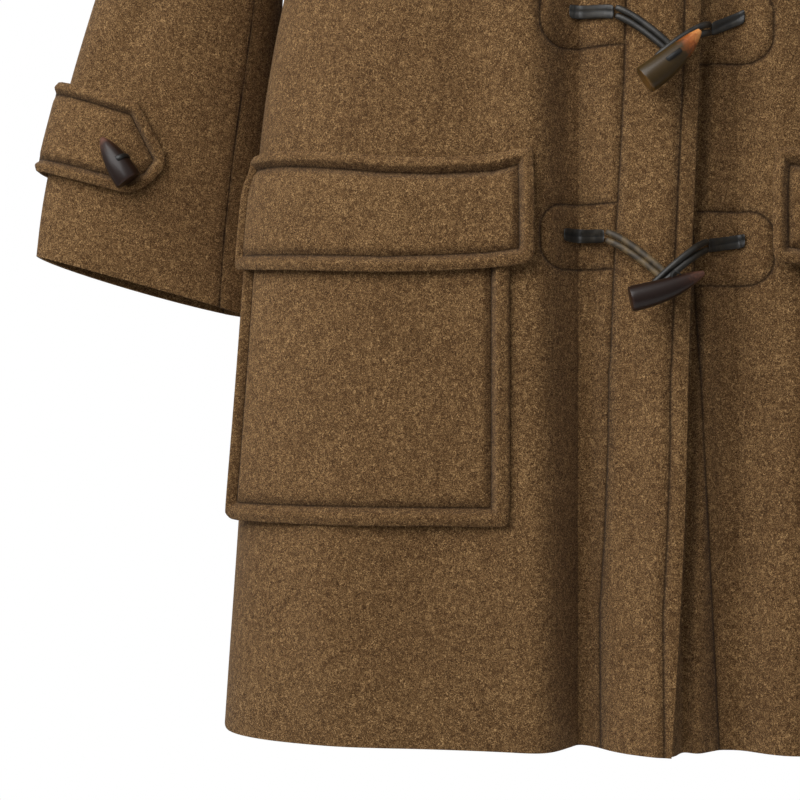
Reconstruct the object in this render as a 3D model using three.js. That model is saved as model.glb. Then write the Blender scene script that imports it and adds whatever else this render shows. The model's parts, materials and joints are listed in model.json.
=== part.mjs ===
// A knee-length hooded duffle coat in thick wool, filled out as if worn, with nobody in it.
// Millimetres, +Z up. The coat faces -Y, and the wearer's right side is at -X.
// The origin is in the neck, at the level where the shoulders carry the coat.
import * as THREE from 'three';

// Driving sizes
const NECK_HEIGHT = 900; // from the hem up to the neck points
const UNDERARM_HEIGHT = 645;
const CLOTH = 3; // thickness of one wall of wool
const SEAM_GAP = 0.4; // between two pieces that are sewn together
const LAID_GAP = 0.6; // between a panel and a piece that lies on it
const MIDDLE_Y = 12; // the side seams' distance behind the origin
const FRONT_SQUARE = 2.5; // 2 is an ellipse, more is squarer
const BACK_SQUARE = 2.0;
const LAP_EDGE = [-20, -6]; // the left front's hidden edge under the right one, and its next column
const LAP_DEPTH = 5.2; // how far the left front is set back there
const NECK_HALF = 78;
const NECK_FRONT = { y: -98, height: 822 };
const NECK_BACK = { y: 62, height: 885 };
const NECK_SIDE = { y: 14, height: NECK_HEIGHT };
const SHOULDER_TIP = { x: 222, y: 20, height: 858 };
const ARMHOLE_SCOOP = 28; // the armhole curves in by this at mid height
const ARMHOLE_FRONT = 58; // reach of the armhole in front of and behind its middle
const ARMHOLE_BACK = 58;
const ARMHOLE_STEPS = 6; // rows of the panels beside the armhole
const CHEST_SWELL = -10; // forward at mid chest
const BLADE_SWELL = 14; // backward at the shoulder blades

// Widths and depths of the body at some heights above the hem
const BODY_RINGS = [
  { height: 0, half: 291, front: 124, back: 142 },
  { height: 60, half: 287, front: 123, back: 140 },
  { height: 145, half: 281, front: 121, back: 136 },
  { height: 270, half: 274, front: 119, back: 131 },
  { height: 403, half: 267, front: 117, back: 125 },
  { height: 476, half: 257, front: 117, back: 122 },
  { height: 540, half: 243, front: 118, back: 120 },
  { height: 600, half: 233, front: 119, back: 118 },
  { height: 645, half: 229, front: 120, back: 116 },
];

// Hanging folds: place at the hem, sideways drift up to the chest, half width, depths
const FRONT_FOLDS = [
  { x: 8, drift: 8, half: 25, hem: 21, chest: 8 },
  { x: -45, drift: -6, half: 13, hem: -34, chest: -13 },
  { x: -78, drift: -8, half: 14, hem: 5, chest: 5 },
  { x: -135, drift: 6, half: 26, hem: -6, chest: -2 },
  { x: 52, drift: 6, half: 13, hem: -12, chest: -8 },
  { x: 92, drift: 8, half: 24, hem: 17, chest: 6 },
  { x: 170, drift: -8, half: 26, hem: -10, chest: -3 },
];
const BACK_FOLDS = [
  { x: -150, drift: 14, half: 30, hem: 12, chest: 3 },
  { x: -70, drift: 6, half: 24, hem: -13, chest: -5 },
  { x: 12, drift: -8, half: 30, hem: 14, chest: 4 },
  { x: 92, drift: -10, half: 24, hem: -12, chest: -4 },
  { x: 168, drift: -12, half: 28, hem: 10, chest: 2 },
];

// The free edge of the right front, as distances from the centre line
const FRONT_EDGE = [
  { height: 0, x: 8 },
  { height: 151, x: 18 },
  { height: 295, x: 22 },
  { height: 488, x: 30 },
  { height: 900, x: 30 },
];

// Rows and columns of the panels
const BODY_ROWS = [0, 40, 90, 145, 200, 255, 313, 352, 391, 440, 490, 540, 590, UNDERARM_HEIGHT];
const FRONT_COLUMNS = [6, 13, 20, 31, 39, 47, 57, 67, NECK_HALF, 92, 106];
const BACK_COLUMNS = [0, 26, 52, NECK_HALF];
const SIDE_STEPS = 8;

// Sleeve rings below the armhole: outer and inner edge, half depth and place in Y
const SLEEVE_RINGS = [
  { outX: 262, outHeight: 815, inX: 240, inHeight: 630, half: 64, y: 19 },
  { outX: 298, outHeight: 752, inX: 245, inHeight: 602, half: 66, y: 24 },
  { outX: 328, outHeight: 690, inX: 248, inHeight: 572, half: 64, y: 32 },
  { outX: 352, outHeight: 632, inX: 250, inHeight: 540, half: 60, y: 42 },
  { outX: 374, outHeight: 572, inX: 252, inHeight: 502, half: 55, y: 52 },
  { outX: 394, outHeight: 515, inX: 257, inHeight: 457, half: 49, y: 60 },
  { outX: 411, outHeight: 461, inX: 263, inHeight: 411, half: 44, y: 62 },
  { outX: 424, outHeight: 409, inX: 268, inHeight: 365, half: 38, y: 62 },
  { outX: 431, outHeight: 370, inX: 271, inHeight: 326, half: 33, y: 59 },
  { outX: 434, outHeight: 336, inX: 273, inHeight: 291, half: 29, y: 56 },
];
const SLEEVE_STEPS = 24;
const SLEEVE_SEAM_STEP = 9; // steps from the top line to the sleeve's front and back seams
const CUFF_BACK_DROP = 5;

// Hood: face opening, seam up the back of the head and seam over the crown
const HOOD_ROWS = 9;
const HOOD_FACE = { half: 88, y: -72, height: 1165 };
const HOOD_CROWN = { y: 92, height: 1112, rise: 34 };
const HOOD_BACK_SWELL = 48;
const HOOD_SIDE_SWELL = 34;

// Pockets and flaps on both fronts
const POCKET = { innerX: 95, width: 205, bottom: 148, top: 368, thick: 4.4, stand: 7 };
const FLAP = { innerX: 80, width: 226, bottom: 311, fold: 380, top: 392, thick: 3.6 };

// Rise of a flap's upper and lower edge at shares of its width, from the closing outward
const FLAP_SHARES = [0, 0.1, 0.25, 0.4, 0.6, 0.8, 1];
const FLAP_RISE = { top: [3.4, 1.9, -2.4, -1.3, 4.7, 8.2, 8.5], low: [9.3, 7.1, 5, 3.7, 6.2, 8, 9.9] };

// Leather tabs, top to bottom: their ends as [x, height], the end beside the thong first
const TABS_RIGHT = [
  [[-30, 778], [-57, 781]],
  [[-28, 631], [-56, 634]],
  [[-26, 484], [-54, 487.5]],
  [[-32, 337.5], [-58, 339.5]],
];
const TABS_LEFT = [
  [[37, 769], [61, 776]],
  [[37, 623], [61, 629]],
  [[38, 473], [61, 483]],
  [[36, 331], [61, 335]],
];

// Toggles, top to bottom: middle as [x, height], tilt, length, base radius and seat off the thong
const TOGGLES = [
  { middle: [6, 742], tilt: 30, length: 50, base: 9, seat: 6.4 },
  { middle: [4, 597], tilt: 24, length: 49, base: 8.8, seat: 6.2 },
  { middle: [8.5, 451], tilt: 42, length: 48, base: 10, seat: 7.2 },
  { middle: [5, 303], tilt: 20, length: 50, base: 8.8, seat: 6.2 },
];
const LEATHER_TAB = { height: 9, thick: 2.4 };
const THONG = { radius: 1.9, spread: 2.7, past: 7, clear: 1, sides: 6 };
const EDGE_CLEAR = 5; // the left thongs climb the edge of the right front within this
const TOGGLE = { bend: 2, sides: 12 };

// Sleeve tab, as sleeve rows and columns, and its small toggle as places of its two ends
const CUFF_TAB = { rows: [7, 7.65, 8, 8.3], ends: [14.2, 15.5, 15.1, 14.4], from: 4, thick: 3, proud: 4.5 };
const CUFF_TOGGLE = { base: [359, 386], tip: [379, 417], radius: 10.6, lean: 0.4, sides: 10 };
const TOGGLE_PROFILE = [
  [0, 0.95],
  [0.03, 1],
  [0.25, 0.97],
  [0.5, 0.85],
  [0.75, 0.62],
  [0.92, 0.36],
  [1, 0.16],
];

const wool = new THREE.MeshStandardMaterial({ color: 0x6b5133, roughness: 0.95, metalness: 0 });
const pocketWool = new THREE.MeshStandardMaterial({ color: 0x765a39, roughness: 0.95, metalness: 0 });
const leather = new THREE.MeshStandardMaterial({ color: 0x24211b, roughness: 0.5, metalness: 0 });
const horn = new THREE.MeshStandardMaterial({ color: 0x3b2413, roughness: 0.25, metalness: 0 });

const group = new THREE.Group();
group.name = 'duffle_coat';

const point = (x, y, height) => new THREE.Vector3(x, y, height - NECK_HEIGHT);
const mix = (a, b, t) => a + (b - a) * t;
const mixPoint = (a, b, t) => a.clone().lerp(b, t);
const moved = (p, direction, distance) => p.clone().addScaledVector(direction, distance);
const power = (value, exponent) => Math.sign(value) * Math.abs(value) ** exponent;
const bell = (distance, half) => Math.exp(-((distance / half) ** 2));

// A table column at some height, smoothly interpolated between its rows
function fromTable(table, column, height) {
  const last = table.length - 2;
  const found = table.findIndex((row, i) => i <= last && height <= table[i + 1].height);
  const i = found < 0 ? last : found;
  const row = (k) => table[Math.min(Math.max(k, 0), last + 1)];
  const slope = (k) =>
    (row(k + 1)[column] - row(k - 1)[column]) / (row(k + 1).height - row(k - 1).height);
  const span = row(i + 1).height - row(i).height;
  const t = Math.min(Math.max((height - row(i).height) / span, 0), 1);
  const a = row(i)[column];
  const b = row(i + 1)[column];
  const t2 = t * t;
  const t3 = t2 * t;
  return (
    a * (2 * t3 - 3 * t2 + 1) +
    b * (3 * t2 - 2 * t3) +
    slope(i) * span * (t3 - 2 * t2 + t) +
    slope(i + 1) * span * (t3 - t2)
  );
}

// Outward push of a list of folds at a place on the cloth
function foldPush(folds, x, height) {
  const rise = Math.min(height / UNDERARM_HEIGHT, 1);
  return folds.reduce(
    (sum, fold) =>
      sum + mix(fold.hem, fold.chest, rise) * bell(x - fold.x - fold.drift * rise, fold.half),
    0,
  );
}

// A body point at a turn round the coat: 0 is the centre front, minus is the wearer's right
function bodyPoint(turn, height) {
  const inFront = Math.cos(turn) >= 0;
  const square = inFront ? FRONT_SQUARE : BACK_SQUARE;
  const depth = fromTable(BODY_RINGS, inFront ? 'front' : 'back', height);
  const across = power(Math.sin(turn), 2 / square);
  const along = power(Math.cos(turn), 2 / square);
  const x = fromTable(BODY_RINGS, 'half', height) * across;
  const push = foldPush(inFront ? FRONT_FOLDS : BACK_FOLDS, x, height);
  const fade = Math.min(Math.abs(along) * 2.2, 1);
  return point(x, MIDDLE_Y - depth * along - (inFront ? push : -push) * fade, height);
}

function turnAt(x, height, inFront) {
  const square = inFront ? FRONT_SQUARE : BACK_SQUARE;
  const share = Math.min(Math.abs(x) / fromTable(BODY_RINGS, 'half', height), 1);
  const turn = Math.asin(share ** (square / 2));
  return Math.sign(x || 1) * (inFront ? turn : Math.PI - turn);
}

// Turns of one half's columns at some height, from the listed distances out to the side seam
function halfTurns(columns, side, height, inFront) {
  const inner = columns.map((x) => turnAt(side * x, height, inFront));
  const start = inner[inner.length - 1];
  const end = (side * Math.PI) / 2;
  const outer = Array.from({ length: SIDE_STEPS }, (_, i) => mix(start, end, (i + 1) / SIDE_STEPS));
  return [...inner, ...outer];
}

// The armhole: 0 at the underarm, 1 at the shoulder tip
function armholePoint(side, share, inFront) {
  const angle = Math.PI * (1 - share);
  const middle = (SHOULDER_TIP.height + UNDERARM_HEIGHT) / 2;
  const reach = (SHOULDER_TIP.height - UNDERARM_HEIGHT) / 2;
  const underarm = fromTable(BODY_RINGS, 'half', UNDERARM_HEIGHT);
  const x = mix(underarm, SHOULDER_TIP.x, share) - ARMHOLE_SCOOP * Math.sin(angle) ** 2;
  const y = mix(MIDDLE_Y, SHOULDER_TIP.y, share);
  const swing = (inFront ? -ARMHOLE_FRONT : ARMHOLE_BACK) * Math.sin(angle);
  return point(side * x, y + swing, middle + reach * Math.cos(angle));
}

// Direction through the cloth at the armhole, towards the hollow of the sleeve
function armholeInward(side, share, inFront) {
  const angle = Math.PI * (1 - share);
  const y = (inFront ? 1 : -1) * Math.sin(angle);
  return new THREE.Vector3(-side * 0.25, y, -Math.cos(angle)).normalize();
}

// The neckline and shoulder seam above a column that crosses the underarm line at x
function topPoint(x, inFront) {
  const share = Math.abs(x) / NECK_HALF;
  const neck = inFront ? NECK_FRONT : NECK_BACK;
  if (share <= 1) {
    const angle = (share ** 1.5 * Math.PI) / 2;
    const rise = 1 - Math.cos(angle);
    const y = mix(neck.y, NECK_SIDE.y, rise);
    return point(Math.sign(x) * NECK_HALF * Math.sin(angle), y, mix(neck.height, NECK_SIDE.height, rise));
  }
  const underarm = fromTable(BODY_RINGS, 'half', UNDERARM_HEIGHT);
  const along = (Math.abs(x) - NECK_HALF) / (underarm - NECK_HALF);
  return point(
    Math.sign(x) * mix(NECK_HALF, SHOULDER_TIP.x, along),
    mix(NECK_SIDE.y, SHOULDER_TIP.y, along),
    mix(NECK_SIDE.height, SHOULDER_TIP.height, along),
  );
}

// Rows from the underarm line up to the neckline and shoulders, drawn in to the armholes
function upperRows(bottom, inFront, swell) {
  const top = bottom.map((p) => topPoint(p.x, inFront));
  const underarm = fromTable(BODY_RINGS, 'half', UNDERARM_HEIGHT);
  return Array.from({ length: ARMHOLE_STEPS }, (_, step) => {
    const rise = (step + 1) / ARMHOLE_STEPS;
    return bottom.map((start, k) => {
      const side = Math.sign(start.x || 1);
      const share = Math.min(Math.abs(start.x) / underarm, 1);
      const straight = mixPoint(armholePoint(side, 0, inFront), armholePoint(side, 1, inFront), rise);
      const pull = armholePoint(side, rise, inFront).sub(straight);
      const p = mixPoint(start, top[k], rise).addScaledVector(pull, share);
      p.y += swell * Math.sin(Math.PI * rise) * (1 - share ** 2);
      return p;
    });
  });
}

// Normals of a grid of points, pointing away from the given middle line or point
function gridNormals(rows, sign) {
  return rows.map((row, j) =>
    row.map((_, i) => {
      const along = row[Math.min(i + 1, row.length - 1)].clone().sub(row[Math.max(i - 1, 0)]);
      const up = rows[Math.min(j + 1, rows.length - 1)][i].clone().sub(rows[Math.max(j - 1, 0)][i]);
      return along.cross(up).normalize().multiplyScalar(sign);
    }),
  );
}

// A sheet of cloth: its outer points, its normals and the inner points behind them
function makeSheet(outer, sign, thickness, inward = () => null) {
  const normals = gridNormals(outer, sign);
  const inner = outer.map((row, j) =>
    row.map((p, i) => moved(p, inward(i, j, normals[j][i]) ?? normals[j][i].clone().negate(), thickness)),
  );
  return { outer, inner, normals };
}

// Closed solid from the outer and inner points of a sheet
function sheetGeometry({ outer, inner }) {
  const height = outer.length;
  const width = outer[0].length;
  const points = [...outer.flat(), ...inner.flat()];
  const at = (i, j, layer) => layer * width * height + j * width + i;
  const index = [];
  const quad = (a, b, c, d) => index.push(a, b, c, a, c, d);
  for (let j = 0; j < height - 1; j += 1) {
    for (let i = 0; i < width - 1; i += 1) {
      quad(at(i, j, 0), at(i + 1, j, 0), at(i + 1, j + 1, 0), at(i, j + 1, 0));
      quad(at(i, j, 1), at(i, j + 1, 1), at(i + 1, j + 1, 1), at(i + 1, j, 1));
    }
  }
  const rim = [];
  for (let i = 0; i < width - 1; i += 1) rim.push([i, 0, i + 1, 0]);
  for (let j = 0; j < height - 1; j += 1) rim.push([width - 1, j, width - 1, j + 1]);
  for (let i = width - 1; i > 0; i -= 1) rim.push([i, height - 1, i - 1, height - 1]);
  for (let j = height - 1; j > 0; j -= 1) rim.push([0, j, 0, j - 1]);
  for (const [i, j, k, l] of rim) quad(at(i, j, 0), at(i, j, 1), at(k, l, 1), at(k, l, 0));
  return closedGeometry(points, index);
}

// Geometry with its faces turned outward
function closedGeometry(points, index) {
  let volume = 0;
  for (let i = 0; i < index.length; i += 3) {
    const [a, b, c] = [0, 1, 2].map((k) => points[index[i + k]]);
    volume += a.dot(b.clone().cross(c));
  }
  if (volume < 0) {
    for (let i = 0; i < index.length; i += 3) [index[i], index[i + 1]] = [index[i + 1], index[i]];
  }
  const geometry = new THREE.BufferGeometry();
  geometry.setAttribute('position', new THREE.Float32BufferAttribute(points.flatMap((p) => [...p]), 3));
  geometry.setIndex(index);
  geometry.computeVertexNormals();
  return geometry;
}

// A solid rod through centres with a radius at each, closed at both ends
function rodGeometry(centres, radii, sides) {
  const last = centres.length - 1;
  const points = [];
  centres.forEach((centre, k) => {
    const before = centres[Math.max(k - 1, 0)];
    const along = centres[Math.min(k + 1, last)].clone().sub(before).normalize();
    const out = new THREE.Vector3(0, -1, 0).addScaledVector(along, along.y).normalize();
    const across = along.clone().cross(out);
    for (let i = 0; i < sides; i += 1) {
      const angle = (2 * Math.PI * i) / sides;
      const p = moved(centre, out, radii[k] * Math.cos(angle));
      points.push(p.addScaledVector(across, radii[k] * Math.sin(angle)));
    }
  });
  const index = [];
  for (let k = 0; k < last; k += 1) {
    for (let i = 0; i < sides; i += 1) {
      const [a, b] = [k * sides + i, k * sides + ((i + 1) % sides)];
      index.push(a, b, b + sides, a, b + sides, a + sides);
    }
  }
  for (let i = 1; i < sides - 1; i += 1) {
    index.push(0, i + 1, i);
    index.push(last * sides, last * sides + i, last * sides + i + 1);
  }
  return closedGeometry(points, index);
}

function addPart(name, geometry, material) {
  const mesh = new THREE.Mesh(geometry, material);
  mesh.name = name;
  group.add(mesh);
}

const inwardX = (side) => new THREE.Vector3(-side, 0, 0);
const toNeck = (p) => new THREE.Vector3(-p.x, -10 - p.y, 0).normalize();
const down = new THREE.Vector3(0, 0, -1);

// One front, from its free edge to the side seam; the edge list gives its inner columns
function frontSheet(side, edge, columns, laid) {
  const turns = (height) => [
    ...edge.map((place) => turnAt(place(height), height, true)),
    ...halfTurns(columns, side, height, true),
  ];
  const lower = BODY_ROWS.map((height) => turns(height).map((turn) => bodyPoint(turn, height)));
  const last = lower[0].length - 1;
  const rows = [...lower, ...upperRows(lower[lower.length - 1], true, CHEST_SWELL)];
  const normals = gridNormals(rows, side);
  const outer = rows.map((row, j) => row.map((p, i) => laid(p, normals[j][i])));
  outer.forEach((row, j) => {
    if (j < BODY_ROWS.length) row[last].y -= SEAM_GAP / 2;
  });
  const neckColumn = edge.length + columns.indexOf(NECK_HALF);
  outer[outer.length - 1].forEach((p, i) => {
    if (i >= neckColumn) p.y -= SEAM_GAP / 2;
  });
  const inward = (i, j) => {
    const share = (j - BODY_ROWS.length + 1) / ARMHOLE_STEPS;
    if (i === last) return share >= 0 ? armholeInward(side, share, true) : inwardX(side);
    if (j === outer.length - 1) return i <= neckColumn ? toNeck(outer[j][i]) : down;
    return null;
  };
  return makeSheet(outer, side, CLOTH, inward);
}

const edgeX = (height) => fromTable(FRONT_EDGE, 'x', height);
const edgeShare = (share) => (height) => mix(-FRONT_COLUMNS[0], edgeX(height), share);
const frontRight = frontSheet(-1, [1, 0.67, 0.33].map(edgeShare), FRONT_COLUMNS, (p) => p);
const underLap = (p, normal) => {
  const share = THREE.MathUtils.smoothstep(76 - p.x, 0, 34);
  return moved(p, normal, -LAP_DEPTH * share);
};
const frontLeft = frontSheet(1, LAP_EDGE.map((x) => () => x), FRONT_COLUMNS, underLap);

// The back, from the wearer's right side seam to the left one
function backSheet() {
  const turns = (height) => {
    const half = halfTurns(BACK_COLUMNS, -1, height, false);
    const other = halfTurns(BACK_COLUMNS, 1, height, false);
    return [...half.reverse(), ...other.slice(1)];
  };
  const lower = BODY_ROWS.map((height) => turns(height).map((turn) => bodyPoint(turn, height)));
  const bottom = lower[lower.length - 1];
  const last = bottom.length - 1;
  const outer = [...lower, ...upperRows(bottom, false, BLADE_SWELL)];
  const isNeck = (i) => Math.abs(bottom[i].x) <= NECK_HALF + 1;
  outer.forEach((row, j) => {
    if (j >= BODY_ROWS.length) return;
    row[0].y += SEAM_GAP / 2;
    row[last].y += SEAM_GAP / 2;
  });
  outer[outer.length - 1].forEach((p, i) => {
    if (!isNeck(i) || Math.abs(bottom[i].x) > NECK_HALF - 1) p.y += SEAM_GAP / 2;
  });
  const inward = (i, j) => {
    const share = (j - BODY_ROWS.length + 1) / ARMHOLE_STEPS;
    const side = i === 0 ? -1 : 1;
    if (i === 0 || i === last) return share >= 0 ? armholeInward(side, share, false) : inwardX(side);
    if (j === outer.length - 1) return isNeck(i) ? toNeck(outer[j][i]) : down;
    return null;
  };
  return makeSheet(outer, -1, CLOTH, inward);
}
const back = backSheet();

// The armhole loop of one layer, starting at the shoulder tip and running round the front
function armholeLoop(side, layer) {
  const first = BODY_ROWS.length - 1;
  const front = (side < 0 ? frontRight : frontLeft)[layer].slice(first).map((row) => row[row.length - 1]);
  const backEdge = back[layer].slice(first).map((row) => (side < 0 ? row[0] : row[row.length - 1]));
  const corners = [...front.reverse(), ...backEdge.slice(1)];
  const perStep = SLEEVE_STEPS / (2 * ARMHOLE_STEPS);
  return Array.from({ length: SLEEVE_STEPS + 1 }, (_, i) => {
    const k = Math.min(Math.floor(i / perStep), corners.length - 2);
    return mixPoint(corners[k], corners[k + 1], i / perStep - k);
  });
}

// A point of a sleeve ring; the angle runs from the outer edge round the front
function sleevePoint(side, ring, angle) {
  const outward = (1 + Math.cos(angle)) / 2;
  const x = mix(ring.inX, ring.outX, outward);
  const height = mix(ring.inHeight, ring.outHeight, outward);
  const drop = ring.half < 40 ? CUFF_BACK_DROP * Math.max(-Math.sin(angle), 0) : 0;
  return point(side * x, ring.y - ring.half * Math.sin(angle), height - drop);
}

function sleeveSheets(side) {
  const angles = Array.from({ length: SLEEVE_STEPS + 1 }, (_, i) => (2 * Math.PI * i) / SLEEVE_STEPS);
  const nearBody = new THREE.Vector3(side, 0, 0);
  const outerRows = [
    armholeLoop(side, 'outer').map((p) => moved(p, nearBody, SEAM_GAP)),
    ...SLEEVE_RINGS.map((ring) => angles.map((angle) => sleevePoint(side, ring, angle))),
  ];
  const innerStart = armholeLoop(side, 'inner').map((p) => moved(p, nearBody, SEAM_GAP));
  const cut = (from, to) => {
    const pick = (row) =>
      Array.from({ length: to - from + 1 }, (_, i) => row[(from + i + SLEEVE_STEPS) % SLEEVE_STEPS].clone());
    const outer = outerRows.map(pick);
    const sheet = makeSheet(outer, side, CLOTH);
    sheet.inner[0] = pick(innerStart);
    return sheet;
  };
  const seam = SLEEVE_SEAM_STEP;
  const top = cut(-seam, seam);
  const under = cut(seam, SLEEVE_STEPS - seam);
  closeSeam(top, under);
  return { top, under };
}

// The seams of a sleeve: both sheets get one inner edge and a small gap
function closeSeam(top, under) {
  const lastTop = top.outer[0].length - 1;
  const lastUnder = under.outer[0].length - 1;
  for (const [a, b] of [[lastTop, 0], [0, lastUnder]]) {
    const inA = a === 0 ? 1 : a - 1;
    top.outer.forEach((row, j) => {
      const along = row[inA].clone().sub(row[a]).normalize();
      const middle = mixPoint(top.inner[j][a], under.inner[j][b], 0.5);
      top.inner[j][a] = moved(middle, along, SEAM_GAP / 2);
      under.inner[j][b] = moved(middle, along, -SEAM_GAP / 2);
      row[a].addScaledVector(along, SEAM_GAP / 2);
      under.outer[j][b].addScaledVector(along, -SEAM_GAP / 2);
    });
  }
}

// One half of the hood, from the face opening to the centre seam
function hoodSheet(side) {
  const front = side < 0 ? frontRight : frontLeft;
  const top = front.outer.length - 1;
  const first = side < 0 ? 3 : 2;
  const neckStep = first + FRONT_COLUMNS.indexOf(NECK_HALF);
  const middle = (back.outer[0].length - 1) / 2;
  const backSteps = BACK_COLUMNS.length - 1;
  const neckline = (layer) => {
    const behind = Array.from({ length: backSteps }, (_, i) => middle + side * (backSteps - 1 - i));
    const points = [
      ...front[layer][top].slice(first, neckStep + 1),
      ...behind.map((i) => back[layer][top][i]),
    ].map((p) => moved(p, down, -SEAM_GAP));
    points[points.length - 1].x += (side * SEAM_GAP) / 2;
    return points;
  };
  const bottom = neckline('outer');
  const last = bottom.length - 1;
  const seamX = (side * SEAM_GAP) / 2;
  const crown = bottom.map((_, k) => {
    const share = k / last;
    const height = mix(HOOD_FACE.height, HOOD_CROWN.height, share);
    const rise = HOOD_CROWN.rise * Math.sin(Math.PI * share);
    return point(seamX, mix(HOOD_FACE.y, HOOD_CROWN.y, share), height + rise);
  });
  const face = (rise) => {
    const swing = HOOD_FACE.half * Math.abs(Math.sin(Math.PI * rise)) ** 0.5;
    return new THREE.Vector3(side * swing, 0, 0);
  };
  const behindHead = (rise) => new THREE.Vector3(0, HOOD_BACK_SWELL * Math.sin(Math.PI * rise), 0);
  const cheeks = (share, rise) => {
    const swell = HOOD_SIDE_SWELL * Math.sin(Math.PI * rise) * Math.sin(Math.PI * share);
    return new THREE.Vector3(side * swell, 0, 0);
  };
  const rows = Array.from({ length: HOOD_ROWS }, (_, i) => Math.sin((Math.PI / 2) * ((i + 1) / HOOD_ROWS)));
  const outer = [
    bottom,
    ...rows.map((rise) =>
      bottom.map((start, k) => {
        const share = k / last;
        return mixPoint(start, crown[k], rise)
          .addScaledVector(face(rise), 1 - share)
          .addScaledVector(behindHead(rise), share)
          .add(cheeks(share, rise));
      }),
    ),
  ];
  const inward = (i, j, normal) => {
    if (i !== last && j !== outer.length - 1) return null;
    return new THREE.Vector3(0, -normal.y, -normal.z).normalize();
  };
  const sheet = makeSheet(outer, side, CLOTH, inward);
  sheet.inner[0] = neckline('inner');
  return sheet;
}

// A point laid on a sheet at a fractional column and row, lifted off its outer face
function onSheet(sheet, column, row, lift) {
  const i = Math.min(Math.floor(column), sheet.outer[0].length - 2);
  const j = Math.min(Math.floor(row), sheet.outer.length - 2);
  const between = (grid) =>
    mixPoint(
      mixPoint(grid[j][i], grid[j][i + 1], column - i),
      mixPoint(grid[j + 1][i], grid[j + 1][i + 1], column - i),
      row - j,
    );
  return moved(between(sheet.outer), between(sheet.normals).normalize(), lift);
}

// Whole numbers between two fractional ones, with both ends
function stepsBetween(from, to, ...extra) {
  const first = Math.floor(from) + 1;
  const whole = Array.from({ length: Math.ceil(to) - first }, (_, i) => first + i);
  const all = [from, ...whole, ...extra, to].sort((a, b) => a - b);
  return all.filter((value, i) => i === 0 || value - all[i - 1] > 0.06);
}

const rowAt = (height) => {
  const j = BODY_ROWS.findIndex((_, k) => height <= BODY_ROWS[k + 1]);
  return j + (height - BODY_ROWS[j]) / (BODY_ROWS[j + 1] - BODY_ROWS[j]);
};

const heightAt = (row) => {
  const j = Math.min(Math.floor(row), BODY_ROWS.length - 2);
  return mix(BODY_ROWS[j], BODY_ROWS[j + 1], row - j);
};

function inTable(shares, values, share) {
  const i = Math.min(shares.findIndex((_, k) => share <= shares[k + 1]), shares.length - 2);
  return mix(values[i], values[i + 1], (share - shares[i]) / (shares[i + 1] - shares[i]));
}

// The fractional column of a sheet at a distance along the cloth from a place x
function columnAlong(sheet, x, row, distance) {
  const line = sheet.outer[Math.round(row)];
  const reaches = (p, k) => k < line.length - 1 && p.x * x > 0 && Math.abs(line[k + 1].x) >= Math.abs(x);
  let i = line.findIndex(reaches);
  let column = i + (Math.abs(x) - Math.abs(line[i].x)) / Math.abs(line[i + 1].x - line[i].x);
  let left = distance;
  while (left > 0) {
    i = Math.floor(column);
    const length = line[i].distanceTo(line[i + 1]);
    const step = Math.min(left, (i + 1 - column) * length);
    column += step / length;
    left -= step;
    if (i + 1 - column < 1e-6) column = i + 1;
    if (column >= line.length - 1) return line.length - 1;
  }
  return column;
}

// A piece laid over columns and rows of a sheet, with its own lift and rise at each point
function laidPiece(sheet, columns, rows, thickness, lift, rise = () => 0) {
  const place = (column, row, height) =>
    onSheet(sheet, column, rowAt(heightAt(row) + rise(column, row)), height);
  const layer = (extra) =>
    rows.map((row) => columns.map((column) => place(column, row, lift(column, row) + extra)));
  return { outer: layer(thickness), inner: layer(0) };
}

function pocketPieces(sheet, side) {
  const middleRow = rowAt(BODY_ROWS[5]);
  const pocketFrom = columnAlong(sheet, side * POCKET.innerX, middleRow, 0);
  const pocketTo = columnAlong(sheet, side * POCKET.innerX, middleRow, POCKET.width);
  const pocketColumns = stepsBetween(pocketFrom, pocketTo);
  const pocketRows = stepsBetween(rowAt(POCKET.bottom), rowAt(POCKET.top));
  const stand = (column, row) => {
    const out = Math.max((column - pocketFrom) / (pocketTo - pocketFrom) - 0.7, 0) / 0.3;
    const low = 1 - (row - pocketRows[0]) / (pocketRows[pocketRows.length - 1] - pocketRows[0]);
    return LAID_GAP + POCKET.stand * out * low;
  };
  const flapFrom = columnAlong(sheet, side * FLAP.innerX, rowAt(FLAP.bottom), 0);
  const flapTo = columnAlong(sheet, side * FLAP.innerX, rowAt(FLAP.bottom), FLAP.width);
  const flapColumns = stepsBetween(flapFrom, flapTo);
  const clearRow = rowAt(POCKET.top + 2);
  const flapRows = stepsBetween(rowAt(FLAP.bottom), rowAt(FLAP.top) - 1e-6, clearRow, rowAt(FLAP.fold));
  const overPocket = (_, row) => {
    if (row >= rowAt(FLAP.fold) - 1e-6) return LAID_GAP;
    return 2 * LAID_GAP + POCKET.thick + 2.4 * (1 - (row - flapRows[0]) / (clearRow - flapRows[0]));
  };
  const rise = (column, row) => {
    const share = (column - flapFrom) / (flapTo - flapFrom);
    const up = (row - flapRows[0]) / (flapRows[flapRows.length - 1] - flapRows[0]);
    return mix(inTable(FLAP_SHARES, FLAP_RISE.low, share), inTable(FLAP_SHARES, FLAP_RISE.top, share), up);
  };
  return {
    pocket: laidPiece(sheet, pocketColumns, pocketRows, POCKET.thick, stand),
    flap: laidPiece(sheet, flapColumns, flapRows, FLAP.thick, overPocket, rise),
  };
}

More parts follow.
